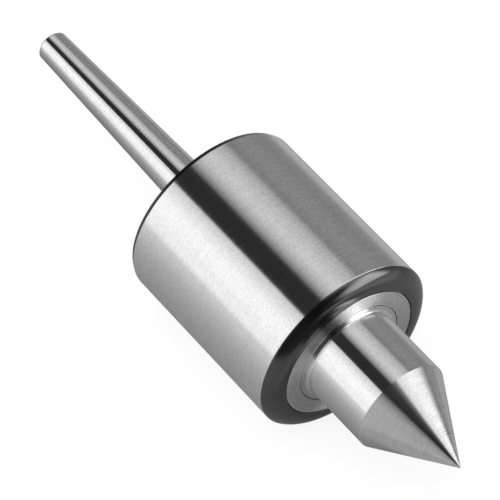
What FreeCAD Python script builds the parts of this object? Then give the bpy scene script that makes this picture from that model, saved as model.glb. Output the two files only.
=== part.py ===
import FreeCAD, Part

import math
import os
from types import SimpleNamespace

import Sketcher

# Live center with a No. 0 Morse taper shank, in millimetres. The turning axis is X. The point looks
# along +X, +Z is up, and the origin is on the axis at the gauge plane of the taper.

SIZES = [
    # shank and housing
    ("gauge_diameter", 9.045, "taper diameter at the gauge plane"),
    ("taper_run", 19.212, "length in which the taper loses one unit of diameter"),
    ("stand_off", 2.0, "gauge plane to the rear face of the head"),
    ("shank_length", 50.0, "gauge plane to the end of the shank"),
    ("shank_chamfer", 0.5, "chamfer on the end of the shank"),
    ("centre_sink_radius", 1.7, "mouth of the centre hole in the shank's end"),
    ("centre_pilot_radius", 0.8, "pilot of the centre hole"),
    ("centre_depth", 3.4, "depth of the centre hole"),
    ("back_wall", 4.4, "solid wall between the shank and the bores"),
    ("relief_radius", 8.5, "blind bore that clears the spindle's tail"),
    ("relief_depth", 2.5, "depth of that blind bore"),
    ("spring_height", 1.0, "room for the disc spring"),
    ("bearing_gap", 3.0, "rear bearing to thrust bearing"),
    ("head_wall", 3.0, "wall outside the cap's thread"),
    ("thread_step", 1.0, "cap thread above the front bearing's seat"),
    ("thread_run_out", 0.5, "thread bore below the cap's skirt"),
    ("rear_chamfer_length", 1.0, "rear edge of the head, along the axis"),
    ("rear_chamfer_depth", 0.5, "rear edge of the head, across the axis"),
    ("seam_chamfer", 0.2, "front edge of the head, at the cap"),
    # cap, dust shield and seal
    ("cap_skirt", 5.0, "screwed length of the cap"),
    ("cap_lip", 1.95, "cap in front of the head"),
    ("cap_land", 0.7, "flat rim around the recess"),
    ("cap_wall", 0.9, "least wall between the recess and the thread"),
    ("cap_thread_lead", 0.5, "chamfer at the end of the cap's thread"),
    ("cap_relief", 0.5, "cap clear of the front inner ring"),
    ("clamp_step", 0.4, "clamping face outside the ring's shoulder"),
    ("bore_clearance", 0.3, "cap bore around the seal journal"),
    ("felt_width", 1.6, "seal along the axis"),
    ("felt_height", 2.2, "groove for the seal above the cap bore"),
    ("felt_clearance", 0.03, "running fit of the seal on its journal"),
    ("shield_radius", 14.45, "dust shield, outside"),
    ("shield_thickness", 1.9, "dust shield"),
    ("shield_gap", 0.25, "dust shield to the cap's recess"),
    ("floor_gap", 0.4, "recess floor behind the shield's shoulder"),
    # spindle
    ("point_angle", 60.0, "included angle of the point"),
    ("tip_flat_radius", 0.1, "flat on the tip of the point"),
    ("nose_radius", 9.78, "cylinder behind the cone"),
    ("nose_length", 15.1, "front plane to the cone"),
    ("nose_fillet", 0.75, "root of the nose"),
    ("spigot_step", 0.77, "dust shield's seat outside the fillet"),
    ("shoulder_step", 0.9, "shoulder behind the dust shield, above its seat"),
    ("shoulder_width", 0.95, "that shoulder along the axis"),
    ("journal_step", 1.5, "seal journal above the front bearing's seat"),
    ("tail_stub", 2.0, "tail behind the rear bearing"),
    ("tail_chamfer", 0.4, "chamfer on the tail"),
    ("tail_groove_depth", 0.2, "groove for the retaining ring"),
    ("tail_groove_play", 0.05, "groove wider than the retaining ring"),
    # front and rear ball bearings
    ("front_bore", 17.0, "front bearing, bore diameter"),
    ("front_outside", 30.0, "front bearing, outside diameter"),
    ("front_width", 7.0, "front bearing, width"),
    ("front_ball", 3.572, "front bearing, ball diameter"),
    ("front_opening", 2.5, "front bearing, room between the ring shoulders"),
    ("front_spacing", 2.6, "front bearing, least gap between balls"),
    ("front_cage_wall", 1.2, "front bearing, cage across the axis"),
    ("rear_bore", 10.0, "rear bearing, bore diameter"),
    ("rear_outside", 22.0, "rear bearing, outside diameter"),
    ("rear_width", 6.0, "rear bearing, width"),
    ("rear_ball", 3.175, "rear bearing, ball diameter"),
    ("rear_opening", 2.2, "rear bearing, room between the ring shoulders"),
    ("rear_spacing", 2.0, "rear bearing, least gap between balls"),
    ("rear_cage_wall", 1.0, "rear bearing, cage across the axis"),
    ("race_clearance", 0.06, "ball to groove, all bearings"),
    ("pocket_clearance", 0.1, "ball to cage pocket, all bearings"),
    ("cage_end_gap", 0.15, "cage to the shields, ball bearings"),
    ("shield_plate", 0.35, "bearing shield, thickness"),
    ("shield_inset", 0.3, "bearing shield below the ring's face"),
    ("shield_seat", 0.5, "bearing shield's seat in the outer ring"),
    ("shield_lip_gap", 0.2, "bearing shield to the inner ring"),
    # thrust bearing and its collar
    ("collar_width", 2.0, "thrust collar along the axis"),
    ("collar_radius", 12.0, "thrust collar, outside"),
    ("thrust_bore", 15.0, "thrust bearing, bore diameter"),
    ("thrust_outside", 28.0, "thrust bearing, outside diameter"),
    ("thrust_height", 9.0, "thrust bearing along the axis"),
    ("thrust_washer", 3.0, "thrust bearing, each washer"),
    ("thrust_ball", 4.763, "thrust bearing, ball diameter"),
    ("thrust_spacing", 0.8, "thrust bearing, least gap between balls"),
    ("thrust_side_gap", 0.3, "turning washer clear of the housing"),
    ("thrust_shaft_gap", 0.5, "fixed washer clear of the spindle"),
    ("thrust_cage_height", 2.2, "thrust bearing, cage along the axis"),
    ("thrust_cage_gap", 0.3, "cage clear of the spindle and the housing"),
    # retaining ring and disc spring
    ("ring_thickness", 1.0, "retaining ring"),
    ("ring_back", 2.0, "retaining ring, across, away from the gap"),
    ("ring_offset", 0.4, "retaining ring, outside off centre"),
    ("lug_radius", 1.4, "retaining ring, eyes"),
    ("lug_hole_radius", 0.7, "retaining ring, holes for pliers"),
    ("lug_reach", 6.2, "retaining ring, eyes from the axis"),
    ("lug_angle", 26.0, "retaining ring, eyes from the middle of the gap"),
    ("ring_gap", 2.4, "retaining ring, gap between the ends"),
    ("spring_plate", 0.5, "disc spring, thickness along the axis"),
    ("spring_rim_gap", 0.2, "disc spring inside its bore"),
    ("spring_bore_step", 0.2, "disc spring's bore outside the blind bore"),
]

SPIN_AXIS = FreeCAD.Vector(1, 0, 0)
SKETCH_NORMAL = FreeCAD.Vector(0, 0, 1)

doc = FreeCAD.newDocument("live_center")


# ---- sizes -------------------------------------------------------------------------------------

class Size:
    """A number together with the sheet formula that gives it."""

    def __init__(self, value, formula):
        self.value = value
        self.formula = formula

    def __add__(self, other):
        return joined(self, "+", other, lambda a, b: a + b)

    def __sub__(self, other):
        return joined(self, "-", other, lambda a, b: a - b)

    def __mul__(self, other):
        return joined(self, "*", other, lambda a, b: a * b)

    def __truediv__(self, other):
        return joined(self, "/", other, lambda a, b: a / b)

    def __neg__(self):
        return Size(-self.value, f"-({self.formula})")


def joined(first, sign, second, rule):
    """Join two sizes, or a size and a plain number, by value and by formula."""
    if not isinstance(second, Size):
        second = Size(second, str(second))
    return Size(rule(first.value, second.value), f"({first.formula} {sign} {second.formula})")


def trig(function, degrees):
    """Sine, cosine or tangent ("sin", "cos" or "tan") of an angle in degrees."""
    value = getattr(math, function)(math.radians(degrees.value))
    return Size(value, f"{function}({degrees.formula} * 1 deg)")


def whole_part(size):
    return Size(math.floor(size.value), f"floor({size.formula})")


def larger(first, second):
    return Size(max(first.value, second.value), f"max({first.formula}; {second.formula})")


def size_sheet():
    """Write the sizes into the document's sheet and return them by name."""
    sheet = doc.addObject("Spreadsheet::Sheet", "Sizes")
    names = {}
    for row, (alias, number, meaning) in enumerate(SIZES, start=1):
        sheet.set(f"A{row}", alias)
        sheet.set(f"B{row}", str(number))
        sheet.set(f"C{row}", meaning)
        sheet.setAlias(f"B{row}", alias)
        names[alias] = Size(number, f"Sizes.{alias}")
    doc.recompute()
    return SimpleNamespace(**names)


size = size_sheet()
zero = Size(0, "0")

# Places along the axis, counted forward from the gauge plane.
rear_face = size.stand_off
relief_floor = rear_face + size.back_wall
spring_seat = relief_floor + size.relief_depth
rear_bearing_back = spring_seat + size.spring_height
rear_bearing_front = rear_bearing_back + size.rear_width
thrust_seat = rear_bearing_front + size.bearing_gap
thrust_front = thrust_seat + size.thrust_height
collar_front = thrust_front + size.collar_width
front_bearing_front = collar_front + size.front_width
seam = front_bearing_front + size.cap_skirt
front = seam + size.cap_lip
cone_base = front + size.nose_length
shield_back = front - size.shield_thickness
recess_floor = shield_back - size.shoulder_width - size.floor_gap
web_back = front_bearing_front + size.cap_relief
shank_end = -size.shank_length

# Radii that more than one piece shares.
recess_radius = size.shield_radius + size.shield_gap
thread_radius = larger(size.front_outside / 2 + size.thread_step, recess_radius + size.cap_wall)
head_radius = thread_radius + size.head_wall
spigot_radius = size.nose_radius + size.nose_fillet + size.spigot_step
shoulder_radius = spigot_radius + size.shoulder_step
journal_radius = size.front_bore / 2 + size.journal_step
cap_bore_radius = journal_radius + size.bore_clearance
felt_radius = cap_bore_radius + size.felt_height
front_pitch = (size.front_bore + size.front_outside) / 4
rear_pitch = (size.rear_bore + size.rear_outside) / 4
thrust_pitch = (size.thrust_bore + size.thrust_outside) / 4


# ---- drawing helpers ---------------------------------------------------------------------------

def bind(thing, name, value):
    """Tie a property of a feature to the sheet."""
    thing.setExpression(name, value.formula)


def plane_or_axis(body, role):
    return next(item for item in body.Origin.OriginFeatures if item.Role == role)


def new_body(label, along=None):
    """Start a sub-part whose own origin lies on the axis, at the given place."""
    body = doc.addObject("PartDesign::Body", label)
    body.Label = label
    if along is not None:
        bind(body, "Placement.Base.x", along)
    return body


def new_sketch(body, name, role="XY_Plane"):
    sketch = body.newObject("Sketcher::SketchObject", name)
    sketch.AttachmentSupport = [(plane_or_axis(body, role), "")]
    sketch.MapMode = "FlatFace"
    return sketch


def hold(sketch, kind, where, value, name):
    """Dimension a point of the sketch from its origin, or a circle by its radius."""
    if kind == "Radius":
        rule = Sketcher.Constraint(kind, where, value.value)
    else:
        rule = Sketcher.Constraint(kind, -1, 1, where[0], where[1], value.value)
    index = sketch.addConstraint(rule)
    sketch.renameConstraint(index, name)
    sketch.setExpression(f"Constraints.{name}", value.formula)


def tangent_arc(start, end, arriving):
    """Arc from start to end that leaves start in the arriving direction, and whether it runs backwards."""
    side = FreeCAD.Vector(-arriving.y, arriving.x, 0)
    chord = end - start
    reach = chord.dot(chord) / (2 * chord.dot(side))
    centre = start + side * reach
    from_centre = [start - centre, end - centre]
    angles = [math.atan2(arm.y, arm.x) for arm in from_centre]
    backwards = reach < 0
    if backwards:
        angles.reverse()
    circle = Part.Circle(centre, SKETCH_NORMAL, abs(reach))
    return Part.ArcOfCircle(circle, angles[0], angles[1]), backwards


def outline(sketch, corners):
    """Close an outline through corners given as (along the axis, out from the axis).

    A corner marked "arc" is followed by an arc that leaves it in line with the run before it.
    """
    points = [FreeCAD.Vector(getattr(c[0], "value", 0), getattr(c[1], "value", 0), 0) for c in corners]
    count = len(corners)
    ends = []
    for i in range(count):
        start = points[i]
        end = points[(i + 1) % count]
        backwards = False
        run = Part.LineSegment(start, end)
        if "arc" in corners[i]:
            arriving = (start - points[i - 1]).normalize()
            run, backwards = tangent_arc(start, end, arriving)
        sketch.addGeometry(run, False)
        ends.append((2, 1) if backwards else (1, 2))
    for i in range(count):
        after = (i + 1) % count
        kind = "Tangent" if "arc" in corners[after] else "Coincident"
        sketch.addConstraint(Sketcher.Constraint(kind, i, ends[i][1], after, ends[after][0]))
    for i in range(count):
        where = (i, ends[i][0])
        hold(sketch, "DistanceX", where, corners[i][0], f"along_{i}")
        if corners[i][1] == 0:
            sketch.addConstraint(Sketcher.Constraint("PointOnObject", where[0], where[1], -1))
        else:
            hold(sketch, "DistanceY", where, corners[i][1], f"out_{i}")


def turn(body, kind, name, sketch):
    """Turn a sketch about the axis, as a Revolution that adds or a Groove that cuts."""
    feature = body.newObject(f"PartDesign::{kind}", name)
    feature.Profile = sketch
    feature.ReferenceAxis = (sketch, ["H_Axis"])
    feature.Angle = 360
    sketch.Visibility = False
    return feature


def turned(body, name, corners, kind="Revolution"):
    sketch = new_sketch(body, f"{body.Name}_{name}_outline")
    outline(sketch, corners)
    return turn(body, kind, f"{body.Name}_{name}", sketch)


def ring(body, back, ahead, inside, outside):
    """Plain turned ring between two places and two radii."""
    return turned(body, "ring", [(back, inside), (back, outside), (ahead, outside), (ahead, inside)])


def ball_groove(body, pitch, ball):
    """Race: a round groove in the bearing's middle plane, larger than the ball by its clearance."""
    sketch = new_sketch(body, f"{body.Name}_race_outline")
    centre = FreeCAD.Vector(0, pitch.value, 0)
    radius = ball / 2 + size.race_clearance
    sketch.addGeometry(Part.Circle(centre, SKETCH_NORMAL, radius.value), False)
    hold(sketch, "Radius", 0, radius, "race_radius")
    sketch.addConstraint(Sketcher.Constraint("PointOnObject", 0, 3, -2))
    hold(sketch, "DistanceY", (0, 3), pitch, "race_pitch")
    return turn(body, "Groove", f"{body.Name}_race", sketch)


def repeat_around(body, feature, count):
    """Repeat a feature around the axis and make the result the body's shape."""
    pattern = body.newObject("PartDesign::PolarPattern", f"{body.Name}_pattern")
    pattern.Originals = [feature]
    pattern.Axis = (plane_or_axis(body, "X_Axis"), [""])
    pattern.Angle = 360
    bind(pattern, "Occurrences", count)
    body.Tip = pattern


def ball_set(label, along, pitch, ball, count):
    """Balls on a pitch circle, each a separate sphere."""
    body = new_body(label, along)
    sphere = body.newObject("PartDesign::AdditiveSphere", f"{label}_ball")
    bind(sphere, "Radius", ball / 2)
    bind(sphere, "Placement.Base.y", pitch)
    repeat_around(body, sphere, count)


def balls_that_fit(pitch, ball, spacing):
    return whole_part(pitch * (2 * math.pi) / (ball + spacing))


# ---- housing, cap, seal and dust shield --------------------------------------------------------

def taper_radius(along):
    """Radius of the shank's taper at a place along the axis."""
    return size.gauge_diameter / 2 + along / size.taper_run / 2


def housing():
    """Round head and taper shank in one piece, bored from the front in steps for the bearings."""
    body = new_body("housing")
    chamfer_start = shank_end + size.shank_chamfer
    front_seat = size.front_outside / 2
    thrust_bore = size.thrust_outside / 2
    rear_seat = size.rear_outside / 2
    thread_end = front_bearing_front - size.thread_run_out
    turned(body, "solid", [
        (shank_end, 0),
        (shank_end, taper_radius(chamfer_start) - size.shank_chamfer),
        (chamfer_start, taper_radius(chamfer_start)),
        (rear_face, taper_radius(rear_face)),
        (rear_face, head_radius - size.rear_chamfer_depth),
        (rear_face + size.rear_chamfer_length, head_radius),
        (seam - size.seam_chamfer, head_radius),
        (seam, head_radius - size.seam_chamfer),
        (seam, thread_radius),
        (thread_end, thread_radius),
        (thread_end, front_seat),
        (collar_front, front_seat),
        (collar_front, thrust_bore),
        (thrust_seat, thrust_bore),
        (thrust_seat, rear_seat),
        (spring_seat, rear_seat),
        (spring_seat, size.relief_radius),
        (relief_floor, size.relief_radius),
        (relief_floor, 0),
    ])
    sink_depth = (size.centre_sink_radius - size.centre_pilot_radius) / trig("tan", size.point_angle / 2)
    turned(body, "centre_hole", [
        (shank_end, 0),
        (shank_end, size.centre_sink_radius),
        (shank_end + sink_depth, size.centre_pilot_radius),
        (shank_end + size.centre_depth, size.centre_pilot_radius),
        (shank_end + size.centre_depth, 0),
    ], kind="Groove")


def front_cap():
    """Screwed cap: it clamps the front bearing's outer ring, and its crowned lip closes the head."""
    body = new_body("front_cap")
    clamp_radius = front_pitch + size.front_opening / 2 + size.clamp_step
    turned(body, "solid", [
        (web_back, cap_bore_radius),
        (recess_floor, cap_bore_radius),
        (recess_floor, recess_radius),
        (front, recess_radius),
        (front, recess_radius + size.cap_land, "arc"),
        (seam, head_radius),
        (seam, thread_radius),
        (front_bearing_front + size.cap_thread_lead, thread_radius),
        (front_bearing_front, thread_radius - size.cap_thread_lead),
        (front_bearing_front, clamp_radius),
        (web_back, clamp_radius),
    ])
    groove_middle = (web_back + recess_floor) / 2
    turned(body, "felt_groove", [
        (groove_middle - size.felt_width / 2, cap_bore_radius),
        (groove_middle - size.felt_width / 2, felt_radius),
        (groove_middle + size.felt_width / 2, felt_radius),
        (groove_middle + size.felt_width / 2, cap_bore_radius),
    ], kind="Groove")


def felt_seal():
    """Felt ring in the cap's groove, around the spindle's seal journal."""
    body = new_body("felt_seal", (web_back + recess_floor) / 2)
    half = size.felt_width / 2
    ring(body, -half, half, journal_radius + size.felt_clearance, felt_radius)


def dust_shield():
    """Flat ring pressed on the spindle's spigot, flush with the cap's rim."""
    body = new_body("dust_shield", shield_back)
    ring(body, zero, size.shield_thickness, spigot_radius, size.shield_radius)


def disc_spring():
    """Coned washer that presses the rear bearing's outer ring forward."""
    body = new_body("disc_spring", spring_seat)
    inside = size.relief_radius + size.spring_bore_step
    outside = size.rear_outside / 2 - size.spring_rim_gap
    turned(body, "cone", [
        (zero, inside),
        (size.spring_height - size.spring_plate, outside),
        (size.spring_height, outside),
        (size.spring_plate, inside),
    ])


# ---- spindle and what is fixed on it -----------------------------------------------------------

def spindle():
    """Turned spindle: hardened point, nose, shield seat, seal journal and three bearing seats."""
    body = new_body("spindle")
    tail_end = rear_bearing_back - size.tail_stub
    tail_radius = size.rear_bore / 2
    groove_back = rear_bearing_back - size.ring_thickness - size.tail_groove_play
    groove_radius = tail_radius - size.tail_groove_depth
    cone_length = (size.nose_radius - size.tip_flat_radius) / trig("tan", size.point_angle / 2)
    turned(body, "solid", [
        (tail_end, 0),
        (tail_end, tail_radius - size.tail_chamfer),
        (tail_end + size.tail_chamfer, tail_radius),
        (groove_back, tail_radius),
        (groove_back, groove_radius),
        (rear_bearing_back, groove_radius),
        (rear_bearing_back, tail_radius),
        (rear_bearing_front, tail_radius),
        (rear_bearing_front, size.thrust_bore / 2),
        (collar_front, size.thrust_bore / 2),
        (collar_front, size.front_bore / 2),
        (front_bearing_front, size.front_bore / 2),
        (front_bearing_front, journal_radius),
        (shield_back - size.shoulder_width, journal_radius),
        (shield_back - size.shoulder_width, shoulder_radius),
        (shield_back, shoulder_radius),
        (shield_back, spigot_radius),
        (front, spigot_radius),
        (front, size.nose_radius + size.nose_fillet, "arc"),
        (front + size.nose_fillet, size.nose_radius),
        (cone_base, size.nose_radius),
        (cone_base + cone_length, size.tip_flat_radius),
        (cone_base + cone_length, 0),
    ])


def thrust_collar():
    """Ring that carries the spindle's thrust on to the turning washer."""
    body = new_body("thrust_collar", thrust_front)
    ring(body, zero, size.collar_width, size.thrust_bore / 2, size.collar_radius)


def cylinder(name, radius, up=None, across=None):
    """Part cylinder along the axis, as long as the retaining ring is thick."""
    solid = doc.addObject("Part::Cylinder", name)
    bind(solid, "Radius", radius)
    bind(solid, "Height", size.ring_thickness)
    solid.Placement.Rotation = FreeCAD.Rotation(FreeCAD.Vector(0, 0, 1), SPIN_AXIS)
    if up is not None:
        bind(solid, "Placement.Base.z", up)
    if across is not None:
        bind(solid, "Placement.Base.y", across)
    return solid


def cut(name, base, tool):
    result = doc.addObject("Part::Cut", name)
    result.Base = base
    result.Tool = tool
    return result


def fused(name, pieces):
    result = doc.addObject("Part::MultiFuse", name)
    result.Shapes = pieces
    return result


def retaining_ring():
    """Open spring ring in the tail's groove, with an eye for pliers at each end of its gap."""
    groove_radius = size.rear_bore / 2 - size.tail_groove_depth
    outside = groove_radius + size.ring_back - size.ring_offset
    eye_across = size.lug_reach * trig("sin", size.lug_angle)
    eye_up = size.lug_reach * trig("cos", size.lug_angle)
    hoop = cylinder("hoop", outside, -size.ring_offset)
    bore = cylinder("ring_bore", groove_radius)
    eyes = []
    holes = []
    for side, across in (("left", eye_across), ("right", -eye_across)):
        eyes.append(cylinder(f"eye_{side}", size.lug_radius, eye_up, across))
        holes.append(cylinder(f"eye_hole_{side}", size.lug_hole_radius, eye_up, across))
    gap = doc.addObject("Part::Box", "ring_gap")
    bind(gap, "Length", size.ring_thickness)
    bind(gap, "Width", size.ring_gap)
    bind(gap, "Height", outside + size.lug_reach)
    bind(gap, "Placement.Base.y", -size.ring_gap / 2)
    blank = fused("ring_blank", [hoop] + eyes)
    openings = fused("ring_openings", [bore, gap] + holes)
    clip = cut("retaining_ring", blank, openings)
    clip.Label = "retaining_ring"
    bind(clip, "Placement.Base.x", rear_bearing_back - size.ring_thickness)


# ---- bearings ----------------------------------------------------------------------------------

def ball_bearing(name, back, pitch):
    """Deep groove ball bearing with shields, drawn about its own middle plane."""
    bore, outside, width, ball, opening, spacing, cage_wall = (
        getattr(size, f"{name}_{word}")
        for word in ("bore", "outside", "width", "ball", "opening", "spacing", "cage_wall"))
    middle = back + width / 2
    half = width / 2
    inner_shoulder = pitch - opening / 2
    outer_shoulder = pitch + opening / 2
    shield_edge = outer_shoulder + size.shield_seat
    seat_floor = half - size.shield_inset - size.shield_plate

    body = new_body(f"{name}_bearing_inner_ring", middle)
    ring(body, -half, half, bore / 2, inner_shoulder)
    ball_groove(body, pitch, ball)

    body = new_body(f"{name}_bearing_outer_ring", middle)
    turned(body, "ring", [
        (-half, shield_edge),
        (-half, outside / 2),
        (half, outside / 2),
        (half, shield_edge),
        (seat_floor, shield_edge),
        (seat_floor, outer_shoulder),
        (-seat_floor, outer_shoulder),
        (-seat_floor, shield_edge),
    ])
    ball_groove(body, pitch, ball)

    count = balls_that_fit(pitch, ball, spacing)
    ball_set(f"{name}_bearing_balls", middle, pitch, ball, count)

    body = new_body(f"{name}_bearing_cage", middle)
    pocket_radius = ball / 2 + size.pocket_clearance
    cage_half = seat_floor - size.cage_end_gap
    ring(body, -cage_half, cage_half, pitch - cage_wall / 2, pitch + cage_wall / 2)
    pocket(body, "XZ_Plane", zero, pocket_radius, pitch + cage_wall, both_ways=False)
    repeat_around(body, body.Tip, count)

    lip = inner_shoulder + size.shield_lip_gap
    for side, plate_back in (("shank", -(seat_floor + size.shield_plate)), ("nose", seat_floor)):
        body = new_body(f"{name}_bearing_{side}_shield", middle)
        ring(body, plate_back, plate_back + size.shield_plate, lip, shield_edge)


def pocket(body, role, out, radius, depth, both_ways):
    """Round ball pocket through a cage, from a plane through the axis or across it."""
    sketch = new_sketch(body, f"{body.Name}_pocket_outline", role)
    centre = FreeCAD.Vector(out.value, 0, 0)
    sketch.addGeometry(Part.Circle(centre, SKETCH_NORMAL, radius.value), False)
    hold(sketch, "Radius", 0, radius, "pocket_radius")
    sketch.addConstraint(Sketcher.Constraint("PointOnObject", 0, 3, -1))
    hold(sketch, "DistanceX", (0, 3), out, "pocket_out")
    feature = body.newObject("PartDesign::Pocket", f"{body.Name}_pocket")
    feature.Profile = sketch
    bind(feature, "Length", depth)
    feature.SideType = "Symmetric" if both_ways else "One side"
    sketch.Visibility = False


def thrust_bearing():
    """Ball thrust bearing: a washer that turns, a washer that stands, and caged balls between."""
    bore = size.thrust_bore / 2
    outside = size.thrust_outside / 2
    middle = thrust_seat + size.thrust_height / 2
    half = size.thrust_height / 2
    face = half - size.thrust_washer

    body = new_body("thrust_turning_washer", middle)
    ring(body, face, half, bore, outside - size.thrust_side_gap)
    ball_groove(body, thrust_pitch, size.thrust_ball)

    body = new_body("thrust_fixed_washer", middle)
    ring(body, -half, -face, bore + size.thrust_shaft_gap, outside)
    ball_groove(body, thrust_pitch, size.thrust_ball)

    count = balls_that_fit(thrust_pitch, size.thrust_ball, size.thrust_spacing)
    ball_set("thrust_bearing_balls", middle, thrust_pitch, size.thrust_ball, count)

    body = new_body("thrust_bearing_cage", middle)
    cage_half = size.thrust_cage_height / 2
    ring(body, -cage_half, cage_half, bore + size.thrust_cage_gap, outside - size.thrust_cage_gap)
    pocket_radius = size.thrust_ball / 2 + size.pocket_clearance
    pocket(body, "YZ_Plane", thrust_pitch, pocket_radius, size.thrust_cage_height * 2, both_ways=True)
    repeat_around(body, body.Tip, count)


# ---- build, check and write --------------------------------------------------------------------

def check_document():
    """Stop if any object failed to compute or any sub-part has no valid shape."""
    for item in doc.Objects:
        if "Invalid" in item.State or "Error" in item.State:
            raise RuntimeError(f"{item.Name} did not compute: {item.State}")
    for part in sub_parts():
        if part.Shape.isNull() or not part.Shape.isValid():
            raise RuntimeError(f"{part.Label} has no valid shape")


def sub_parts():
    bodies = [item for item in doc.Objects if item.TypeId == "PartDesign::Body"]
    return bodies + [doc.getObject("retaining_ring")]


def write_parts():
    os.makedirs("parts", exist_ok=True)
    for part in sub_parts():
        part.Shape.exportStep(f"parts/{part.Label}.step")
        volume = sum(solid.Volume for solid in part.Shape.Solids)
        print(f"{part.Label}: {len(part.Shape.Solids)} solid(s), {volume:.3f} mm3")


housing()
front_cap()
felt_seal()
dust_shield()
disc_spring()
spindle()
thrust_collar()
retaining_ring()
ball_bearing("front", collar_front, front_pitch)
ball_bearing("rear", rear_bearing_back, rear_pitch)
thrust_bearing()
doc.recompute()
check_document()
write_parts()
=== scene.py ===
import math

import bpy
import numpy as np
from mathutils import Matrix, Vector


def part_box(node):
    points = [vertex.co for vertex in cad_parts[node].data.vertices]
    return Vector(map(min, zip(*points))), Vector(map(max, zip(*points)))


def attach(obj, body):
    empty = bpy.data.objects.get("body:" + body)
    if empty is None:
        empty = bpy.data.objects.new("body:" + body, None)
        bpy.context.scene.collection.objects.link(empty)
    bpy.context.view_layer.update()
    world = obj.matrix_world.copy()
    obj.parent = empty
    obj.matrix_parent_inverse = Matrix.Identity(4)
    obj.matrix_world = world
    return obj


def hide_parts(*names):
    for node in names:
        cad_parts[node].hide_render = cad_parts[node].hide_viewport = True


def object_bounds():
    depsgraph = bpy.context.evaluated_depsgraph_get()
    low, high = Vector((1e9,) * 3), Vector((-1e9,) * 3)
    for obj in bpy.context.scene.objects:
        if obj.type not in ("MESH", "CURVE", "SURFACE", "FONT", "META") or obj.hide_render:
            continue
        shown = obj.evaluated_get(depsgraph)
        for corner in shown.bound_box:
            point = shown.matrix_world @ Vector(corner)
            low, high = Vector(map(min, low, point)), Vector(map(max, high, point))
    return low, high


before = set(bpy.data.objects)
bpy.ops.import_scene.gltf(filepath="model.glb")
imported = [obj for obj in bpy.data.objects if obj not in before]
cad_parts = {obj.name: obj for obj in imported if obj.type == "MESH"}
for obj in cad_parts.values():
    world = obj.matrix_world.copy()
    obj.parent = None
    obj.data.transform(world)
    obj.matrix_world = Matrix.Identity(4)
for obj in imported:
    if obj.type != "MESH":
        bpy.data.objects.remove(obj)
cad_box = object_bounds()


# ---- camera ------------------------------------------------------------------------------------
# A long lens looks down past the point. The axis runs from the upper left of the view, where the
# shank ends, to the lower right, where the point is nearest. tip_from_lens is in the camera's axes.

view_azimuth = math.radians(52.47)
view_elevation = math.radians(52.69)
cone_tip = Vector((0.0759, 0, 0))
tip_from_lens = Vector((0.037694, -0.0390485, -0.6142245))

right = Vector((math.cos(view_azimuth), math.sin(view_azimuth), 0))
back = Vector((
    math.sin(view_azimuth) * math.cos(view_elevation),
    -math.cos(view_azimuth) * math.cos(view_elevation),
    math.sin(view_elevation),
))
turn = Matrix((right, back.cross(right), back)).transposed()
camera = bpy.data.objects.new("camera", bpy.data.cameras.new("camera"))
camera.data.sensor_width = 36
camera.data.lens = 247.5
camera.data.clip_start = 0.01
camera.matrix_world = Matrix.Translation(cone_tip - turn @ tip_from_lens) @ turn.to_4x4()
bpy.context.scene.collection.objects.link(camera)
bpy.context.scene.camera = camera
bpy.context.scene.view_settings.view_transform = "Standard"


# ---- floor and light ---------------------------------------------------------------------------
# The center lies on a pale floor in a white studio, under a half round tent of panels that only
# reflections see: a soft box low on the near side, a dark gap overhead, a grey far side, and a
# strong front lamp low on the far side.

floor_size = 3.0
floor_crowding = 0.02
floor_glow = 0.86
floor_white = (0.22, 0.22, 0.22, 1)
tent_radius = 1.2
lamp_place = Vector((0.1, -0.35, 1.2))
sky_glow = 0.56
seen_sky_glow = 1.05

def place(tree, kind, inputs=None, **settings):
    """Add a node, apply its settings, and fill its inputs with values or other nodes' sockets."""
    made = tree.nodes.new(kind)
    for name, value in settings.items():
        setattr(made, name, value)
    for name, value in (inputs or {}).items():
        if isinstance(value, bpy.types.NodeSocket):
            tree.links.new(value, made.inputs[name])
        else:
            made.inputs[name].default_value = value
    return made

def empty_material(name):
    """Material with an empty node tree."""
    material = bpy.data.materials.new(name)
    material.use_nodes = True
    material.node_tree.nodes.clear()
    return material

def backdrop_rays(tree):
    """Masks of the rays that see the studio: the camera's, those off a mirror or through glass, both."""
    path = place(tree, "ShaderNodeLightPath")
    mirrored = place(tree, "ShaderNodeMath", {
        0: path.outputs["Is Glossy Ray"], 1: path.outputs["Is Transmission Ray"]}, operation="MAXIMUM")
    seen = place(tree, "ShaderNodeMath", {
        0: path.outputs["Is Camera Ray"], 1: mirrored.outputs[0]}, operation="MAXIMUM")
    return path.outputs["Is Camera Ray"], mirrored.outputs[0], seen.outputs[0]

def floor_material():
    """Matt white that glows, so that the background stays white and keeps a soft shadow.

    Mirrors see instead the brightness that the floor's points carry, which is painted shade and light.
    """
    material = empty_material("pale_floor")
    tree = material.node_tree
    camera_ray, mirrored, _ = backdrop_rays(tree)
    carried = place(tree, "ShaderNodeAttribute", attribute_name="brightness")
    glow = place(tree, "ShaderNodeMath", {0: camera_ray, 1: floor_glow}, operation="MULTIPLY")
    matt = place(tree, "ShaderNodeBsdfDiffuse", {"Color": floor_white})
    light = place(tree, "ShaderNodeEmission", {"Strength": glow.outputs[0]})
    lit = place(tree, "ShaderNodeAddShader", {0: matt.outputs[0], 1: light.outputs[0]})
    painted_in_mirror = place(tree, "ShaderNodeEmission", {"Strength": carried.outputs["Fac"]})
    both = place(tree, "ShaderNodeMixShader", {
        0: mirrored, 1: lit.outputs[0], 2: painted_in_mirror.outputs[0]})
    place(tree, "ShaderNodeOutputMaterial", {"Surface": both.outputs[0]})
    material.cycles.emission_sampling = "NONE"
    return material

def smooth(value, start, end):
    """0 before start, 1 after end, and a smooth rise between them."""
    level = np.clip((value - start) / (end - start), 0, 1)
    return level * level * (3 - 2 * level)

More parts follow.
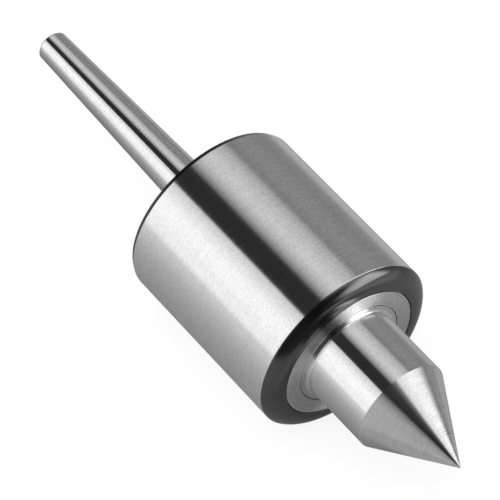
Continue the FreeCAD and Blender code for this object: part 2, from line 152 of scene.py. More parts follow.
def tent_brightness(round_axis, from_tail):
    """Brightness of the tent by direction, in degrees.

    round_axis goes from the near horizon, 0, over the top to the far horizon, 180. from_tail is the
    angle from the shank's own direction, 0, to the point's, 180. The tail half and the point half each
    follow a curve of (round_axis, brightness), and they blend about halfway. On the near side the point
    half begins with a strip that is three quarters darker. The panels are nearly dark close behind the
    tail and ahead of the point. The front lamp stands ahead, on the far side, brightest low down.
    """
    tail_half = np.array([
        [0, 1.15], [6, 1.22], [14, 1.20], [20, 1.28], [28, 1.31], [36, 1.28], [44, 1.12], [52, 0.92],
        [56, 0.84], [58, 0.03], [82, 0.03], [85, 0.22], [93, 0.56], [101, 0.74], [108, 0.76], [116, 0.67],
        [127, 0.53], [130.5, 0.46], [132, 0.24], [138, 0.23], [148, 0.29], [170, 0.28], [180, 0.25]])
    point_half = np.array([
        [0, 0.55], [12, 0.66], [30, 0.88], [38, 0.86], [44, 0.76], [52, 0.56], [57, 0.24], [60, 0.08],
        [82, 0.07], [88, 0.16], [93, 0.28], [97, 0.70], [101, 1.05], [115, 1.14], [128, 1.18], [135, 1.13],
        [142, 1.00], [149, 0.86], [156, 0.64], [162, 0.44], [168, 0.22], [174, 0.27], [180, 0.33]])
    at_tail = np.interp(round_axis, *tail_half.T)
    at_point = np.interp(round_axis, *point_half.T)
    far_side = smooth(round_axis, 60, 95)
    blend = smooth(from_tail, 80, 92 + 10 * far_side)
    near_gap = 0.75 * (1 - far_side) * smooth(round_axis, 4, 24) * (1 - smooth(from_tail, 98, 106))
    panels = at_tail * (1 - blend) + at_point * blend * (1 - near_gap)
    panels = panels * (0.05 + 0.95 * smooth(from_tail, 18, 30))
    ahead = smooth(from_tail, 120 + 8 * far_side, 130 + 10 * far_side)
    low = smooth(round_axis, 130, 155)
    lamp_along = smooth(from_tail, 130 - 14 * low, 142 - 14 * low) * (1 - smooth(from_tail, 150, 166))
    front_lamp = (1.85 + 1.15 * low) * lamp_along * smooth(round_axis, 122, 138)
    return panels * (1 - 0.95 * ahead) + front_lamp

def floor_painted_shade_and_light(x, y):
    """Painted shade and light on the floor as mirrors see it: 1 - 0.62 exp((19 - d) / 75) at d mm from the
    axis.

    This level is a painted shadow of the work. It is at least 0.5 under the point. It stays under a
    limit, which is 1 on the near side and 0.6 beside the point there, and on the far side 0.77 beside
    the shank, 0.52 further on and 0.35 far out, as painted shade. A painted shadow, a dark wedge, lies
    ahead of the point, further off on the near side, and past it, on the far side, a painted bright
    patch. All but the patch is dimmed to 0.81.
    """
    near_limit = 1 - 0.4 * smooth(x, 0.045, 0.075)
    beside_head = 1 - smooth(x, -0.01, 0.035)
    far_limit = 0.35 + (0.17 + 0.25 * beside_head) * (1 - smooth(y, 0.06 - 0.02 * beside_head, 0.14))
    level = np.maximum(1 - 0.62 * np.exp((0.019 - np.abs(y)) / 0.075), 0.5 * smooth(x, 0.057, 0.066))
    ahead = smooth(x + 0.6 * np.minimum(y, 0), 0.078, 0.11) * (1 - smooth(y, 0.01, 0.05))
    patch = smooth(x, 0.08, 0.11) * smooth(y, 0.03, 0.06) * (1 - smooth(y, 0.15, 0.3))
    limited = np.minimum(level, np.where(y < 0, near_limit, far_limit))
    return 0.81 * limited * (1 - 0.85 * ahead) + 0.4 * patch

def grid_faces(rows, columns):
    """Quads between neighbouring points of a grid, row by row."""
    corner = (np.arange(rows - 1)[:, None] * columns + np.arange(columns - 1)).ravel()
    return np.stack([corner, corner + 1, corner + columns + 1, corner + columns], axis=1)

def add_object(name, points, faces, material):
    """Object at the origin with one material."""
    mesh = bpy.data.meshes.new(name)
    mesh.from_pydata(points.tolist(), [], faces.tolist())
    mesh.materials.append(material)
    made = bpy.data.objects.new(name, mesh)
    bpy.context.scene.collection.objects.link(made)
    return made

# The tent is a half sphere: x = -R cos t, y = -R sin t cos a, z = R sin t sin a, with a the angle
# round the axis, every half degree, and t the angle from the tail, every degree.
round_axis, from_tail = np.meshgrid(np.linspace(-2, 182, 369), np.linspace(0, 180, 181), indexing="ij")
a, t = np.radians(round_axis), np.radians(from_tail)
tent_points = tent_radius * np.stack(
    [-np.cos(t), -np.sin(t) * np.cos(a), np.sin(t) * np.sin(a)], axis=-1).reshape(-1, 3)
tent_material = empty_material("studio_panels")
tent_tree = tent_material.node_tree
bright = place(tent_tree, "ShaderNodeAttribute", attribute_name="brightness")
glow = place(tent_tree, "ShaderNodeEmission", {"Strength": bright.outputs["Fac"]})
place(tent_tree, "ShaderNodeOutputMaterial", {"Surface": glow.outputs[0]})
tent_material.cycles.emission_sampling = "NONE"
tent = add_object("studio_tent", tent_points, grid_faces(*round_axis.shape), tent_material)
tent.data.shade_smooth()
tent.visible_camera = tent.visible_diffuse = tent.visible_shadow = tent.visible_transmission = False

# The floor's points crowd towards the axis as s sinh u, so that the painted shade they carry is fine near
# the work.
floor_height = cad_box[0].z
across = floor_crowding * np.sinh(np.linspace(-1, 1, 241) * math.asinh(floor_size / floor_crowding))
floor_x, floor_y = np.meshgrid(across, across, indexing="ij")
floor_points = np.stack([floor_x, floor_y, np.full(floor_x.shape, floor_height)], axis=-1).reshape(-1, 3)
floor = add_object("floor", floor_points, grid_faces(*floor_x.shape)[:, ::-1], floor_material())
# The tent carries the glow of its panels, and the floor its painted shade and light for mirrors.
for lit_piece, levels in (
        (tent, tent_brightness(round_axis, from_tail)),
        (floor, floor_painted_shade_and_light(floor_x, floor_y))):
    carried = lit_piece.data.attributes.new("brightness", "FLOAT", "POINT")
    carried.data.foreach_set("value", levels.ravel().astype(np.float32))

# A soft lamp over the near side lights what isn't a mirror, and casts the shadow.
lamp = bpy.data.objects.new("soft_lamp", bpy.data.lights.new("soft_lamp", "AREA"))
lamp.data.size = 0.9
lamp.data.energy = 5
lamp.location = lamp_place
lamp.rotation_euler = lamp_place.to_track_quat("Z", "Y").to_euler()
lamp.visible_glossy = False
bpy.context.scene.collection.objects.link(lamp)

world = bpy.data.worlds.new("white_studio")
world.use_nodes = True
world.node_tree.nodes.clear()
_, _, seen = backdrop_rays(world.node_tree)
strength = place(world.node_tree, "ShaderNodeMix", {"Factor": seen, "A": sky_glow, "B": seen_sky_glow})
sky = place(world.node_tree, "ShaderNodeBackground", {
    "Color": (1, 1, 1, 1), "Strength": strength.outputs[0]})
place(world.node_tree, "ShaderNodeOutputWorld", {"Surface": sky.outputs[0]})
bpy.context.scene.world = world


# ---- housing: head and taper shank -------------------------------------------------------------
# The head and its taper shank are one turned piece of steel, bored from the front for the bearings
# and ground bright outside. The rear face and its chamfer keep the black of the heat treatment.

shank_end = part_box("housing")[0].x
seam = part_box("housing")[1].x
head_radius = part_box("housing")[1].y
front_bearing_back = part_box("front_bearing_outer_ring")[0].x
front_bearing_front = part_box("front_bearing_outer_ring")[1].x
front_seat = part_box("front_bearing_outer_ring")[1].y
thrust_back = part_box("thrust_fixed_washer")[0].x
thrust_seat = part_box("thrust_fixed_washer")[1].y
spring_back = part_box("disc_spring")[0].x
rear_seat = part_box("rear_bearing_outer_ring")[1].y
thread_radius = 0.016
thread_run_out = 0.0005
rear_face = 0.002
rear_chamfer = (0.001, 0.0005)
root_fillet = 0.0002
root_clearance = 0.0003
seam_chamfer = 0.00006
edge_break = 0.0001
fine_break = 0.00005
gauge_radius = 0.009045 / 2
taper_run = 19.212
shank_chamfer = 0.0005
centre_mouth = 0.0017
centre_pilot = 0.0008
centre_half_angle = math.radians(30)
centre_cone = (centre_mouth - centre_pilot) / math.tan(centre_half_angle)
centre_depth = 0.0034
relief_floor = 0.0064
relief_radius = 0.0085
bright_steel = (0.74, 0.74, 0.745)
# Black of the rear face's oxide, and painted shade in the gaps round the shield and spigot.
oxide_and_painted_shade_black = (0.075, 0.075, 0.077)

def taper_radius(along):
    """Radius of a 1 in 19.212 taper, which shrinks towards the tail."""
    return gauge_radius + along / taper_run / 2

def rounded_profile(corners, closed, steps=6):
    """Points and outward normals of a profile, from rows of (along, out, rounding).

    At a rounded corner the normal turns evenly from one run's to the next one's, and each point is
    the arc's centre plus the rounding along that normal, or minus it in a hollow corner. A corner with
    no rounding keeps one point.
    """
    corners = np.array(corners, float)
    spot, rounding = corners[:, :2], corners[:, 2]
    before, after = np.roll(spot, 1, axis=0), np.roll(spot, -1, axis=0)
    if not closed:
        before[0] = 2 * spot[0] - spot[1]
        after[-1] = 2 * spot[-1] - spot[-2]
    arrive = (spot - before) / np.linalg.norm(spot - before, axis=1, keepdims=True)
    leave = (after - spot) / np.linalg.norm(after - spot, axis=1, keepdims=True)
    cross = arrive[:, 0] * leave[:, 1] - arrive[:, 1] * leave[:, 0]
    bend = np.arctan2(cross, (arrive * leave).sum(axis=1))
    first = np.arctan2(arrive[:, 0], -arrive[:, 1])
    angle = first[:, None] + bend[:, None] * np.linspace(0, 1, steps + 1)
    normals = np.stack([np.cos(angle), np.sin(angle)], axis=-1)
    trim = (rounding * np.tan(np.abs(bend) / 2))[:, None]
    reach = (-np.sign(bend) * rounding)[:, None]
    centre = spot - arrive * trim - reach * normals[:, 0]
    points = centre[:, None] + reach[:, None] * normals
    keep = np.zeros(points.shape[:2], bool)
    keep[rounding > 0] = True
    keep[rounding == 0, steps // 2] = True
    return points[keep], normals[keep]

def turned_piece(name, corners, material, closed=True, around=288, steps=6):
    """Surface of revolution about X, with the profile's own normals.

    A profile point (along, out) becomes the ring (along, out cos a, out sin a), for a evenly spaced
    round the axis. An open profile starts and ends on the axis, at poles that face -X and +X. The
    outside of a piece is the profile's left, so that its widest stretch runs towards +X.
    """
    profile, slopes = rounded_profile(corners, closed, steps)
    if not closed:
        poles, profile, slopes = profile[[0, -1]], profile[1:-1], slopes[1:-1]
    a = np.linspace(0, 2 * math.pi, around, endpoint=False)
    spin = np.stack([np.ones(around), np.cos(a), np.sin(a)], axis=-1)
    points = (profile[:, None, [0, 1, 1]] * spin).reshape(-1, 3)
    normals = (slopes[:, None, [0, 1, 1]] * spin).reshape(-1, 3)
    rows = len(profile)
    ring, column = np.meshgrid(np.arange(rows if closed else rows - 1), np.arange(around), indexing="ij")
    next_ring, next_column = (ring + 1) % rows, (column + 1) % around
    faces = np.stack([
        ring * around + column, ring * around + next_column,
        next_ring * around + next_column, next_ring * around + column,
    ], axis=-1).reshape(-1, 4).tolist()
    if not closed:
        points = np.vstack([points, [[poles[0, 0], 0, 0], [poles[1, 0], 0, 0]]])
        normals = np.vstack([normals, [[-1, 0, 0], [1, 0, 0]]])
        tail_pole, point_pole = rows * around, rows * around + 1
        tail_rim = np.arange(around)
        next_rim = (tail_rim + 1) % around
        last_ring = (rows - 1) * around
        faces += np.stack([np.full(around, tail_pole), next_rim, tail_rim], axis=1).tolist()
        faces += np.stack(
            [np.full(around, point_pole), last_ring + tail_rim, last_ring + next_rim], axis=1).tolist()
    mesh = bpy.data.meshes.new(name)
    mesh.from_pydata(points.tolist(), [], faces)
    mesh.shade_smooth()
    mesh.normals_split_custom_set_from_vertices(normals.tolist())
    mesh.materials.append(material)
    piece = bpy.data.objects.new(name, mesh)
    bpy.context.scene.collection.objects.link(piece)
    return piece

def new_group(name, inputs, outputs):
    """Empty node group with named float or vector inputs and float outputs."""
    group = bpy.data.node_groups.new(name, "ShaderNodeTree")
    for label, kind in inputs.items():
        group.interface.new_socket(label, in_out="INPUT", socket_type=kind)
    for label in outputs:
        group.interface.new_socket(label, in_out="OUTPUT", socket_type="NodeSocketFloat")
    return group, group.nodes.new("NodeGroupInput").outputs, group.nodes.new("NodeGroupOutput").inputs

mm_per_metre = 1000.0
grain_share = 1.8

def tool_mark_group():
    """Fine marks that a wheel or a lathe tool leaves round the X axis, and an even grain.

    The marks are noise of (x + radius) times the fineness, with y and z stretched by the marks'
    length, so that they run in rings on a cylinder, a cone and a face alike. Shade goes from 0 to 1
    with grain_share times the grain plus the marks.
    """
    group, given, result = new_group("tool_marks", {
        "Position": "NodeSocketVector", "Marks per mm": "NodeSocketFloat",
        "Mark length mm": "NodeSocketFloat"}, ["Marks", "Grain", "Shade"])
    axes = place(group, "ShaderNodeSeparateXYZ", {0: given["Position"]})
    flat = place(group, "ShaderNodeCombineXYZ", {"Y": axes.outputs["Y"], "Z": axes.outputs["Z"]})
    radius = place(group, "ShaderNodeVectorMath", {0: flat.outputs[0]}, operation="LENGTH")
    along = place(group, "ShaderNodeMath", {
        0: axes.outputs["X"], 1: radius.outputs["Value"]}, operation="ADD")
    fine = place(group, "ShaderNodeMath", {0: given["Marks per mm"], 1: mm_per_metre}, operation="MULTIPLY")
    ringed = place(group, "ShaderNodeMath", {
        0: along.outputs[0], 1: fine.outputs[0]}, operation="MULTIPLY")
    coarse = place(group, "ShaderNodeMath", {
        0: mm_per_metre, 1: given["Mark length mm"]}, operation="DIVIDE")
    spread = place(group, "ShaderNodeVectorMath", {
        0: flat.outputs[0], "Scale": coarse.outputs[0]}, operation="SCALE")
    lengthwise = place(group, "ShaderNodeCombineXYZ", {"X": ringed.outputs[0]})
    spot = place(group, "ShaderNodeVectorMath", {
        0: spread.outputs[0], 1: lengthwise.outputs[0]}, operation="ADD")
    marks = place(group, "ShaderNodeTexNoise", {
        "Vector": spot.outputs[0], "Scale": 1.0, "Detail": 2.0, "Roughness": 0.6})
    grain = place(group, "ShaderNodeTexNoise", {
        "Vector": given["Position"], "Scale": 2400.0, "Detail": 3.0, "Roughness": 0.6})
    patchy = place(group, "ShaderNodeMath", {
        0: grain.outputs["Fac"], 1: grain_share, 2: marks.outputs["Fac"]}, operation="MULTIPLY_ADD")
    shade = place(group, "ShaderNodeMapRange", {
        "Value": patchy.outputs[0], "From Min": 1.0, "From Max": 1.8})
    group.links.new(marks.outputs["Fac"], result["Marks"])
    group.links.new(grain.outputs["Fac"], result["Grain"])
    group.links.new(shade.outputs[0], result["Shade"])
    return group

tool_marks = tool_mark_group()
rough_spread = 0.15
across_marks = 0.25

def dark_zone_group():
    """A black place on bright steel: 1 where x is at most Along, and the radius from Inner to Outer."""
    group, given, result = new_group("dark_zone", {
        "Position": "NodeSocketVector", "Along": "NodeSocketFloat", "Inner": "NodeSocketFloat",
        "Outer": "NodeSocketFloat"}, ["Cover"])
    axes = place(group, "ShaderNodeSeparateXYZ", {0: given["Position"]})
    flat = place(group, "ShaderNodeCombineXYZ", {"Y": axes.outputs["Y"], "Z": axes.outputs["Z"]})
    radius = place(group, "ShaderNodeVectorMath", {0: flat.outputs[0]}, operation="LENGTH")
    limits = (
        (axes.outputs["X"], "Along"), (radius.outputs["Value"], "Inner"), (radius.outputs["Value"], "Outer"))
    past_along, past_inner, past_outer = (
        place(group, "ShaderNodeMath", {0: measure, 1: given[limit]}, operation="GREATER_THAN").outputs[0]
        for measure, limit in limits)
    between = place(group, "ShaderNodeMath", {0: past_inner, 1: past_outer}, operation="SUBTRACT")
    cover = place(group, "ShaderNodeMath", {
        0: between.outputs[0], 1: past_along}, operation="SUBTRACT", use_clamp=True)
    group.links.new(cover.outputs[0], result["Cover"])
    return group

dark_zone = dark_zone_group()

def steel(name, colour, roughness, pull, marks_per_mm, mark_length, mark_height, grain_height,
          uneven=0.11, covers=()):
    """Bright steel with tool marks round the axis, which smear reflections across themselves.

    pull is how strongly they smear, and uneven the share by which the colour goes up and down. A turn
    of across_marks, a quarter of a round, sets the smear across the marks. covers are rows of (group,
    values, colour): the colour covers the steel where the group's Cover is 1.
    """
    material = empty_material(name)
    tree = material.node_tree
    where = place(tree, "ShaderNodeTexCoord")
    marks = place(tree, "ShaderNodeGroup", {
        "Position": where.outputs["Object"], "Marks per mm": marks_per_mm, "Mark length mm": mark_length},
        node_tree=tool_marks)
    tint = place(tree, "ShaderNodeMix", {
        "Factor": marks.outputs["Shade"], "A": (*((1 - uneven) * c for c in colour), 1),
        "B": (*((1 + uneven) * c for c in colour), 1)}, data_type="RGBA")
    rough = place(tree, "ShaderNodeMapRange", {
        "Value": marks.outputs["Marks"], "To Min": roughness * (1 - rough_spread),
        "To Max": roughness * (1 + rough_spread)})
    lines = place(tree, "ShaderNodeBump", {"Height": marks.outputs["Marks"], "Distance": mark_height})
    grain = place(tree, "ShaderNodeBump", {
        "Height": marks.outputs["Grain"], "Distance": grain_height, "Normal": lines.outputs[0]})
    direction = place(tree, "ShaderNodeTangent", direction_type="RADIAL", axis="X")
    for group, values, cover_colour in covers:
        covered = place(tree, "ShaderNodeGroup", {
            "Position": where.outputs["Object"], **values}, node_tree=group)
        tint = place(tree, "ShaderNodeMix", {
            "Factor": covered.outputs["Cover"], "A": tint.outputs["Result"], "B": (*cover_colour, 1)},
            data_type="RGBA")
    shader = place(tree, "ShaderNodeBsdfPrincipled", {
        "Base Color": tint.outputs["Result"], "Metallic": 1.0, "Roughness": rough.outputs[0],
        "Anisotropic": pull, "Anisotropic Rotation": across_marks, "Tangent": direction.outputs[0],
        "Normal": grain.outputs[0]})
    place(tree, "ShaderNodeOutputMaterial", {"Surface": shader.outputs[0]})
    return material

rear_black = {
    "Along": rear_face + rear_chamfer[0], "Inner": gauge_radius + root_clearance, "Outer": 2 * head_radius}
ground_steel = steel(
    "ground_steel", bright_steel, roughness=0.17, pull=1.0, marks_per_mm=3.0, mark_length=6.0,
    mark_height=0.0000012, grain_height=0.0000014, covers=[(dark_zone, rear_black, oxide_and_painted_shade_black)])
housing = turned_piece("housing_body_shell", [
    (shank_end + centre_depth, 0, 0),
    (shank_end + centre_depth, centre_pilot, edge_break),
    (shank_end + centre_cone, centre_pilot, edge_break),
    (shank_end, centre_mouth, edge_break),
    (shank_end, taper_radius(shank_end + shank_chamfer) - shank_chamfer, edge_break),
    (shank_end + shank_chamfer, taper_radius(shank_end + shank_chamfer), edge_break),
    (rear_face, taper_radius(rear_face), root_fillet),
    (rear_face, head_radius - rear_chamfer[1], edge_break),
    (rear_face + rear_chamfer[0], head_radius, edge_break),
    (seam - seam_chamfer, head_radius, seam_chamfer / 2),
    (seam, head_radius - seam_chamfer, seam_chamfer / 2),
    (seam, thread_radius, edge_break),
    (front_bearing_front - thread_run_out, thread_radius, edge_break),
    (front_bearing_front - thread_run_out, front_seat, edge_break),
    (front_bearing_back, front_seat, edge_break),
    (front_bearing_back, thrust_seat, edge_break),
    (thrust_back, thrust_seat, edge_break),
    (thrust_back, rear_seat, edge_break),
    (spring_back, rear_seat, edge_break),
    (spring_back, relief_radius, edge_break),
    (relief_floor, relief_radius, edge_break),
    (relief_floor, 0, 0),
], ground_steel, closed=False)
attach(housing, "housing_body")
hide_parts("housing")


# ---- front cap ---------------------------------------------------------------------------------
# Screwed cap of blackened steel. Its lip is crowned from the head's edge to a narrow flat rim round
# the recess that holds the dust shield, and its skirt clamps the front bearing.

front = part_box("front_cap")[1].x
shield_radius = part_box("dust_shield")[1].y
shield_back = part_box("dust_shield")[0].x
felt_back, felt_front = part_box("felt_seal")[0].x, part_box("felt_seal")[1].x
felt_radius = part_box("felt_seal")[1].y
gap_round_shield = 0.00025
gap_behind_shield = 0.00135
gap_before_bearing = 0.0005
rim_width = 0.0007
recess_radius = shield_radius + gap_round_shield
recess_floor = shield_back - gap_behind_shield
web_back = front_bearing_front + gap_before_bearing
land_edge = recess_radius + rim_width
cap_bore = 0.0103
clamp_radius = 0.0134
thread_lead = 0.0005

# The crown is an arc that leaves the rim without a bend. Its radius is (drop squared + reach squared)
# / (2 drop), and at an angle t it lies radius (1 - cos t) behind the rim and radius sin t outside it.
crown_drop = front - seam
crown_reach = head_radius - land_edge
crown_radius = (crown_drop ** 2 + crown_reach ** 2) / (2 * crown_drop)
crown_turn = np.linspace(math.asin(crown_reach / crown_radius), 0, 33)
crown = np.column_stack([
    front - crown_radius * (1 - np.cos(crown_turn)),
    land_edge + crown_radius * np.sin(crown_turn),
    np.zeros(crown_turn.size)])

def blackened_steel():
    """Black oxide over turned steel: near black, with the dull gloss of a thin oiled film."""
    material = empty_material("blackened_steel")
    tree = material.node_tree
    where = place(tree, "ShaderNodeTexCoord")
    marks = place(tree, "ShaderNodeGroup", {
        "Position": where.outputs["Object"], "Marks per mm": 2.0, "Mark length mm": 4.0},
        node_tree=tool_marks)
    patches = place(tree, "ShaderNodeTexNoise", {
        "Vector": where.outputs["Object"], "Scale": 220.0, "Detail": 3.0})
    tint = place(tree, "ShaderNodeMix", {
        "Factor": patches.outputs["Fac"], "A": (0.004, 0.004, 0.0045, 1), "B": (0.009, 0.009, 0.0095, 1)},
        data_type="RGBA")
    rough = place(tree, "ShaderNodeMapRange", {
        "Value": patches.outputs["Fac"], "To Min": 0.13, "To Max": 0.20})
    bump = place(tree, "ShaderNodeBump", {"Height": marks.outputs["Marks"], "Distance": 0.000003})
    shader = place(tree, "ShaderNodeBsdfPrincipled", {
        "Base Color": tint.outputs["Result"], "Roughness": rough.outputs[0], "IOR": 2.0,
        "Normal": bump.outputs[0]})
    place(tree, "ShaderNodeOutputMaterial", {"Surface": shader.outputs[0]})
    return material

def soft_grain_group():
    """Fine even noise over a matt surface, from 0 to 1."""
    group, given, result = new_group("soft_grain", {
        "Position": "NodeSocketVector", "Fineness": "NodeSocketFloat",
        "Detail": "NodeSocketFloat"}, ["Grain"])
    noise = place(group, "ShaderNodeTexNoise", {
        "Vector": given["Position"], "Scale": given["Fineness"],
        "Detail": given["Detail"], "Roughness": 0.6})
    group.links.new(noise.outputs["Fac"], result["Grain"])
    return group

soft_grain = soft_grain_group()

def soft_material(name, dark, light, roughness, fineness, height, detail):
    """Matt material whose colour and surface follow one fine noise."""
    material = empty_material(name)
    tree = material.node_tree
    where = place(tree, "ShaderNodeTexCoord")
    texture = place(tree, "ShaderNodeGroup", {
        "Position": where.outputs["Object"], "Fineness": fineness, "Detail": detail}, node_tree=soft_grain)
    tint = place(tree, "ShaderNodeMix", {
        "Factor": texture.outputs["Grain"], "A": (*dark, 1), "B": (*light, 1)}, data_type="RGBA")
    bump = place(tree, "ShaderNodeBump", {"Height": texture.outputs["Grain"], "Distance": height})
    shader = place(tree, "ShaderNodeBsdfPrincipled", {
        "Base Color": tint.outputs["Result"], "Roughness": roughness, "Normal": bump.outputs[0]})
    place(tree, "ShaderNodeOutputMaterial", {"Surface": shader.outputs[0]})
    return material

cap = turned_piece("front_cap_shell", [
    (web_back, clamp_radius, edge_break),
    (front_bearing_front, clamp_radius, edge_break),
    (front_bearing_front, thread_radius - thread_lead, edge_break),
    (front_bearing_front + thread_lead, thread_radius, edge_break),
    (seam, thread_radius, edge_break),
    *crown.tolist(),
    (front, recess_radius, edge_break),
    (recess_floor, recess_radius, edge_break),
    (recess_floor, cap_bore, edge_break),
    (felt_front, cap_bore, fine_break),
    (felt_front, felt_radius, fine_break),
    (felt_back, felt_radius, fine_break),
    (felt_back, cap_bore, fine_break),
    (web_back, cap_bore, edge_break),
], blackened_steel())

# The gap round the shield is so narrow that it looks black, so the faces inside the recess are painted
# black, as painted shade.
cap.data.materials.append(soft_material(
    "recess_painted_shade", (0.003, 0.003, 0.003), (0.006, 0.006, 0.006),
    roughness=1.0, fineness=900.0, height=0.000002, detail=1.0))
centres = np.empty(3 * len(cap.data.polygons), np.float32)
cap.data.polygons.foreach_get("center", centres)
centre_along, centre_out = centres[::3], np.hypot(centres[1::3], centres[2::3])
in_recess = (centre_along < front - edge_break) & (centre_out < recess_radius + edge_break)
cap.data.polygons.foreach_set("material_index", in_recess.astype(np.int32))
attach(cap, "housing_body")
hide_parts("front_cap")


# ---- dust shield -------------------------------------------------------------------------------
# Flat steel ring pressed on the spindle, flush with the cap's rim. Its face is turned, and the tool
# leaves fine rings that spread reflections outwards from the axis.

spigot_radius = 0.0113
shield_edge = 0.00012

# A fine groove shows where the shield meets the spindle. Its walls, and the shield's rim, are painted
# black from joint_edge below the face, as painted shade in the narrow gaps.
joint_width = 0.00018
joint_depth = 0.0006
joint_edge = 0.00006

bore_painted_shade = {"Along": front - joint_edge, "Inner": 0, "Outer": spigot_radius + joint_edge}
rim_painted_shade = {"Along": front - joint_edge, "Inner": shield_radius - joint_edge, "Outer": head_radius}
turned_steel = steel(
    "turned_steel", bright_steel, roughness=0.36, pull=1.0, marks_per_mm=4.0, mark_length=30.0,
    mark_height=0.000002, grain_height=0.0000006, uneven=0.2,
    covers=[(dark_zone, bore_painted_shade, oxide_and_painted_shade_black), (dark_zone, rim_painted_shade, oxide_and_painted_shade_black)])
shield = turned_piece("dust_shield_ring", [
    (shield_back, spigot_radius, edge_break),
    (shield_back, shield_radius, edge_break),
    (front, shield_radius, shield_edge),
    (front, spigot_radius, fine_break),
], turned_steel)
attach(shield, "spindle_body")
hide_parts("dust_shield")


# ---- spindle -----------------------------------------------------------------------------------
# The spindle is one hardened piece: the 60 degree point and its nose are ground bright, and behind
# them come the shield's spigot, the seal journal and the seats of the three bearings.

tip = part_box("spindle")[1].x
tail_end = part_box("spindle")[0].x
front_bore = 0.0085
rear_bearing_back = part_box("rear_bearing_outer_ring")[0].x
rear_bearing_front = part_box("rear_bearing_outer_ring")[1].x
rear_bore = 0.005
thrust_bore = 0.0075
journal_radius = 0.01
shoulder_radius = 0.0122
shoulder_length = 0.00095
shoulder_back = shield_back - shoulder_length
nose_radius = 0.00978
nose_fillet = 0.00075
tip_radius = 0.0001
point_half_angle = math.radians(30)
cone_base = tip - (nose_radius - tip_radius) / math.tan(point_half_angle)
ring_groove = 0.00105
groove_radius = 0.0048
tail_chamfer = 0.0004
cone_break = 0.00008

def scuff_group():
    """Faint dull rings left by work that turned on the point: 1 on them, 0 elsewhere.

    Each ring is a narrow band of x, broken up by noise that changes slowly round the axis.
    """
    group, given, result = new_group("scuffs", {
        "Position": "NodeSocketVector", "First ring": "NodeSocketFloat", "Second ring": "NodeSocketFloat",
        "Width": "NodeSocketFloat"}, ["Cover"])
    axes = place(group, "ShaderNodeSeparateXYZ", {0: given["Position"]})
    first, second = (
        place(group, "ShaderNodeMath", {
            0: axes.outputs["X"], 1: given[ring], 2: given["Width"]}, operation="COMPARE")
        for ring in ("First ring", "Second ring"))
    either = place(group, "ShaderNodeMath", {
        0: first.outputs[0], 1: second.outputs[0]}, operation="MAXIMUM")
    patches = place(group, "ShaderNodeTexNoise", {
        "Vector": given["Position"], "Scale": 300.0, "Detail": 2.0})
    broken = place(group, "ShaderNodeMapRange", {
        "Value": patches.outputs["Fac"], "From Min": 0.42, "From Max": 0.6})
    worn = place(group, "ShaderNodeMath", {
        0: either.outputs[0], 1: broken.outputs[0]}, operation="MULTIPLY")
    group.links.new(worn.outputs[0], result["Cover"])
    return group

# Painted shade: the walls of the groove round the spigot are painted black.
joint_painted_shade = {
    "Along": front - joint_edge, "Inner": spigot_radius - joint_width - joint_edge,
    "Outer": spigot_radius + joint_edge}
scuffs_behind_tip = (0.006066, 0.005616)
scuff_rings = {
    "First ring": tip - scuffs_behind_tip[0], "Second ring": tip - scuffs_behind_tip[1], "Width": 0.00005}
scuff_grey = (0.465, 0.465, 0.468)
hardened_steel = steel(
    "hardened_steel", (0.75, 0.75, 0.755), roughness=0.15, pull=1.0, marks_per_mm=3.5, mark_length=5.0,
    mark_height=0.0000007, grain_height=0.0000011, uneven=0.085,
    covers=[(dark_zone, joint_painted_shade, oxide_and_painted_shade_black), (scuff_group(), scuff_rings, scuff_grey)])
spindle = turned_piece("spindle_shaft", [
    (tail_end, 0, 0),
    (tail_end, rear_bore - tail_chamfer, edge_break),
    (tail_end + tail_chamfer, rear_bore, edge_break),
    (rear_bearing_back - ring_groove, rear_bore, fine_break),
    (rear_bearing_back - ring_groove, groove_radius, fine_break),
    (rear_bearing_back, groove_radius, fine_break),
    (rear_bearing_back, rear_bore, fine_break),
    (rear_bearing_front, rear_bore, edge_break),
    (rear_bearing_front, thrust_bore, edge_break),
    (front_bearing_back, thrust_bore, edge_break),
    (front_bearing_back, front_bore, edge_break),
    (front_bearing_front, front_bore, edge_break),
    (front_bearing_front, journal_radius, edge_break),
    (shoulder_back, journal_radius, edge_break),
    (shoulder_back, shoulder_radius, edge_break),
    (shield_back, shoulder_radius, edge_break),
    (shield_back, spigot_radius, fine_break),
    (front - joint_depth, spigot_radius, 0),
    (front - joint_depth, spigot_radius - joint_width, 0),
    (front, spigot_radius - joint_width, fine_break),
    (front, nose_radius, nose_fillet),
    (cone_base, nose_radius, cone_break),
    (tip, tip_radius, fine_break),
    (tip, 0, 0),
], hardened_steel, closed=False)
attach(spindle, "spindle_body")
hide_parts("spindle")


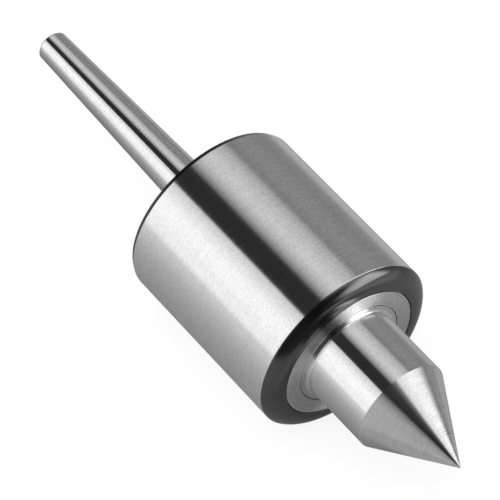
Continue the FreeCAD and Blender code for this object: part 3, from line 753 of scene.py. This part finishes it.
# ---- pieces inside -----------------------------------------------------------------------------
# Nothing of these shows from outside. The bearings' rings and balls are ground and polished bearing
# steel, their shields pressed sheet, their cages moulded nylon; the seal is grey wool felt.

def dress(material, *names):
    """Give the named nodes one material."""
    for name in names:
        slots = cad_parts[name].data.materials
        slots.clear()
        slots.append(material)

bearing_steel = steel(
    "bearing_steel", (0.66, 0.66, 0.67), roughness=0.16, pull=0.8, marks_per_mm=6.0, mark_length=8.0,
    mark_height=0.0000006, grain_height=0.0000002)
collar_steel = steel(
    "collar_steel", (0.60, 0.60, 0.61), roughness=0.34, pull=0.9, marks_per_mm=4.0, mark_length=10.0,
    mark_height=0.000002, grain_height=0.0000006)
pressed_steel = steel(
    "pressed_steel", (0.55, 0.55, 0.56), roughness=0.38, pull=0.3, marks_per_mm=1.5, mark_length=2.0,
    mark_height=0.000001, grain_height=0.000002)
spring_steel = steel(
    "spring_steel", (0.16, 0.16, 0.17), roughness=0.36, pull=0.2, marks_per_mm=2.0, mark_length=1.5,
    mark_height=0.000001, grain_height=0.000003)
cage_nylon = soft_material(
    "cage_nylon", (0.60, 0.53, 0.38), (0.70, 0.63, 0.47),
    roughness=0.45, fineness=900.0, height=0.000004, detail=2.0)
wool_felt = soft_material(
    "wool_felt", (0.30, 0.29, 0.27), (0.52, 0.50, 0.47),
    roughness=0.95, fineness=2200.0, height=0.00004, detail=4.0)

for bearing in ("front_bearing", "rear_bearing"):
    dress(bearing_steel, f"{bearing}_outer_ring", f"{bearing}_inner_ring", f"{bearing}_balls")
    dress(pressed_steel, f"{bearing}_nose_shield", f"{bearing}_shank_shield")
    dress(cage_nylon, f"{bearing}_cage")
dress(bearing_steel, "thrust_turning_washer", "thrust_fixed_washer", "thrust_bearing_balls")
dress(cage_nylon, "thrust_bearing_cage")
dress(collar_steel, "thrust_collar")
dress(spring_steel, "retaining_ring", "disc_spring")
dress(wool_felt, "felt_seal")


# ---- reflections and sizes ---------------------------------------------------------------------
# Of all the pieces, mirrors see only the spindle, so that the bright and dark stripes of the studio
# run along the nose right up to the cap.

for unmirrored in (housing, cap, shield, *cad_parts.values()):
    unmirrored.visible_glossy = False
